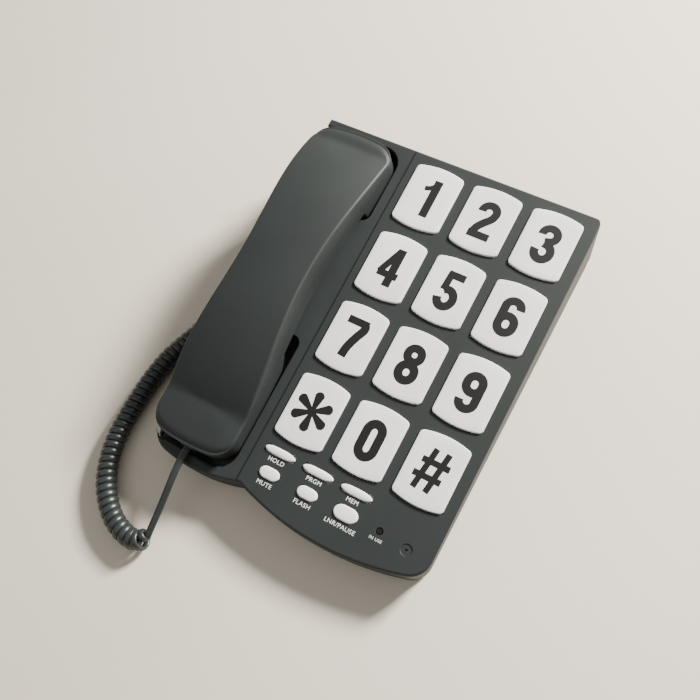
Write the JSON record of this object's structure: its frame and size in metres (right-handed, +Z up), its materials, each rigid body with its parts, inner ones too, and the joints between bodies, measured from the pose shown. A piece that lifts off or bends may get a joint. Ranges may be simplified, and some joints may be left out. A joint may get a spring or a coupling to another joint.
{
  "type": "corded desk telephone",
  "caption": "Wedge desk telephone with large bowed digit keys, small function buttons, a handset lying face down in a side cradle, and a curly handset cord.",
  "frame": {"origin": "on the table under the middle of the base, without the cord", "axes": "+X to the user's right, +Y to the back of the base, +Z up"},
  "size_m": [0.2033, 0.2719, 0.0641],
  "materials": {
    "charcoal_plastic": "fine moulded grain, dark greenish grey",
    "key_plastic": "matte light grey white",
    "button_plastic": "matte light grey white",
    "black_plastic": "moulded black",
    "plug_plastic": "smooth dark moulding",
    "rubber": "matte",
    "silicone": "translucent grey silicone",
    "circuit_board": "green solder mask",
    "ribbon": "flat grey ribbon",
    "lamp": "dark red lens",
    "speaker_can": "pressed can",
    "steel": "plated",
    "cord_sheath": "smooth satin black green sheath"
  },
  "bodies": {
    "base": {"base_top_shell": "charcoal_plastic", "base_bottom_shell": "charcoal_plastic", "keypad_board": "circuit_board", "main_board": "circuit_board", "hook_switch": "circuit_board", "key_mat": "silicone", "ribbon_cable": "ribbon", "in_use_lamp": "lamp", "ringer_speaker": "speaker_can", "hook_spring": "steel", "base_screws": "steel", "board_screws": "steel", "slider_bodies": "steel", "handset_port": "black_plastic", "line_port": "black_plastic", "plug_base": "plug_plastic", "rubber_feet": "rubber", "lead_handset": "cord_sheath", "cord_coil": "cord_sheath", "lead_base": "cord_sheath"},
    "handset": {"handset_back_shell": "charcoal_plastic", "handset_face_shell": "charcoal_plastic", "receiver_capsule": "speaker_can", "receiver_gasket": "rubber", "microphone_capsule": "steel", "microphone_boot": "rubber", "handset_weight": "steel", "handset_end_port": "black_plastic", "handset_screws": "steel", "plug_handset": "plug_plastic"},
    "hook": {"hook_plunger": "charcoal_plastic"},
    "ringer_control": {"ringer_slider": "black_plastic"},
    "dial_control": {"dial_slider": "black_plastic"},
    "key_1": {"key_1": "key_plastic"},
    "key_2": {"key_2": "key_plastic"},
    "key_3": {"key_3": "key_plastic"},
    "key_4": {"key_4": "key_plastic"},
    "key_5": {"key_5": "key_plastic"},
    "key_6": {"key_6": "key_plastic"},
    "key_7": {"key_7": "key_plastic"},
    "key_8": {"key_8": "key_plastic"},
    "key_9": {"key_9": "key_plastic"},
    "key_star": {"key_star": "key_plastic"},
    "key_0": {"key_0": "key_plastic"},
    "key_hash": {"key_hash": "key_plastic"},
    "hold_button": {"hold_button": "button_plastic"},
    "program_button": {"program_button": "button_plastic"},
    "memory_button": {"memory_button": "button_plastic"},
    "mute_button": {"mute_button": "button_plastic"},
    "flash_button": {"flash_button": "button_plastic"},
    "redial_button": {"redial_button": "button_plastic"}
  },
  "joints": [
    {"name": "handset_lift", "type": "slide", "parent": "base", "child": "handset", "axis": [0, -0.1219, 0.9925], "range_m": [0, 0.09]},
    {"name": "hook_rise", "type": "slide", "parent": "base", "child": "hook", "axis": [0, -0.1219, 0.9925], "range_m": [0, 0.0035], "deforming": ["hook_spring"]},
    {"name": "ringer_slide", "type": "slide", "parent": "base", "child": "ringer_control", "axis": [1, 0, 0], "range_m": [0, 0.004]},
    {"name": "dial_slide", "type": "slide", "parent": "base", "child": "dial_control", "axis": [1, 0, 0], "range_m": [0, 0.004]},
    {"name": "key_1_press", "type": "slide", "parent": "base", "child": "key_1", "axis": [0, 0.1219, -0.9925], "range_m": [0, 0.0018], "stiffness_N_per_m": 400, "springref_m": -0.001},
    {"name": "key_2_press", "type": "slide", "parent": "base", "child": "key_2", "axis": [0, 0.1219, -0.9925], "range_m": [0, 0.0018], "stiffness_N_per_m": 400, "springref_m": -0.001},
    {"name": "key_3_press", "type": "slide", "parent": "base", "child": "key_3", "axis": [0, 0.1219, -0.9925], "range_m": [0, 0.0018], "stiffness_N_per_m": 400, "springref_m": -0.001},
    {"name": "key_4_press", "type": "slide", "parent": "base", "child": "key_4", "axis": [0, 0.1219, -0.9925], "range_m": [0, 0.0018], "stiffness_N_per_m": 400, "springref_m": -0.001},
    {"name": "key_5_press", "type": "slide", "parent": "base", "child": "key_5", "axis": [0, 0.1219, -0.9925], "range_m": [0, 0.0018], "stiffness_N_per_m": 400, "springref_m": -0.001},
    {"name": "key_6_press", "type": "slide", "parent": "base", "child": "key_6", "axis": [0, 0.1219, -0.9925], "range_m": [0, 0.0018], "stiffness_N_per_m": 400, "springref_m": -0.001},
    {"name": "key_7_press", "type": "slide", "parent": "base", "child": "key_7", "axis": [0, 0.1219, -0.9925], "range_m": [0, 0.0018], "stiffness_N_per_m": 400, "springref_m": -0.001},
    {"name": "key_8_press", "type": "slide", "parent": "base", "child": "key_8", "axis": [0, 0.1219, -0.9925], "range_m": [0, 0.0018], "stiffness_N_per_m": 400, "springref_m": -0.001},
    {"name": "key_9_press", "type": "slide", "parent": "base", "child": "key_9", "axis": [0, 0.1219, -0.9925], "range_m": [0, 0.0018], "stiffness_N_per_m": 400, "springref_m": -0.001},
    {"name": "key_star_press", "type": "slide", "parent": "base", "child": "key_star", "axis": [0, 0.1219, -0.9925], "range_m": [0, 0.0018], "stiffness_N_per_m": 400, "springref_m": -0.001},
    {"name": "key_0_press", "type": "slide", "parent": "base", "child": "key_0", "axis": [0, 0.1219, -0.9925], "range_m": [0, 0.0018], "stiffness_N_per_m": 400, "springref_m": -0.001},
    {"name": "key_hash_press", "type": "slide", "parent": "base", "child": "key_hash", "axis": [0, 0.1219, -0.9925], "range_m": [0, 0.0018], "stiffness_N_per_m": 400, "springref_m": -0.001},
    {"name": "hold_button_press", "type": "slide", "parent": "base", "child": "hold_button", "axis": [0, 0.1219, -0.9925], "range_m": [0, 0.001], "stiffness_N_per_m": 300, "springref_m": -0.001},
    {"name": "program_button_press", "type": "slide", "parent": "base", "child": "program_button", "axis": [0, 0.1219, -0.9925], "range_m": [0, 0.001], "stiffness_N_per_m": 300, "springref_m": -0.001},
    {"name": "memory_button_press", "type": "slide", "parent": "base", "child": "memory_button", "axis": [0, 0.1219, -0.9925], "range_m": [0, 0.001], "stiffness_N_per_m": 300, "springref_m": -0.001},
    {"name": "mute_button_press", "type": "slide", "parent": "base", "child": "mute_button", "axis": [0, 0.1219, -0.9925], "range_m": [0, 0.001], "stiffness_N_per_m": 300, "springref_m": -0.001},
    {"name": "flash_button_press", "type": "slide", "parent": "base", "child": "flash_button", "axis": [0, 0.1219, -0.9925], "range_m": [0, 0.001], "stiffness_N_per_m": 300, "springref_m": -0.001},
    {"name": "redial_button_press", "type": "slide", "parent": "base", "child": "redial_button", "axis": [0, 0.1219, -0.9925], "range_m": [0, 0.001], "stiffness_N_per_m": 300, "springref_m": -0.001}
  ],
  "couplings": [
    {"joint": "hook_rise", "follows": "handset_lift", "ratio": 0.038889}
  ]
}
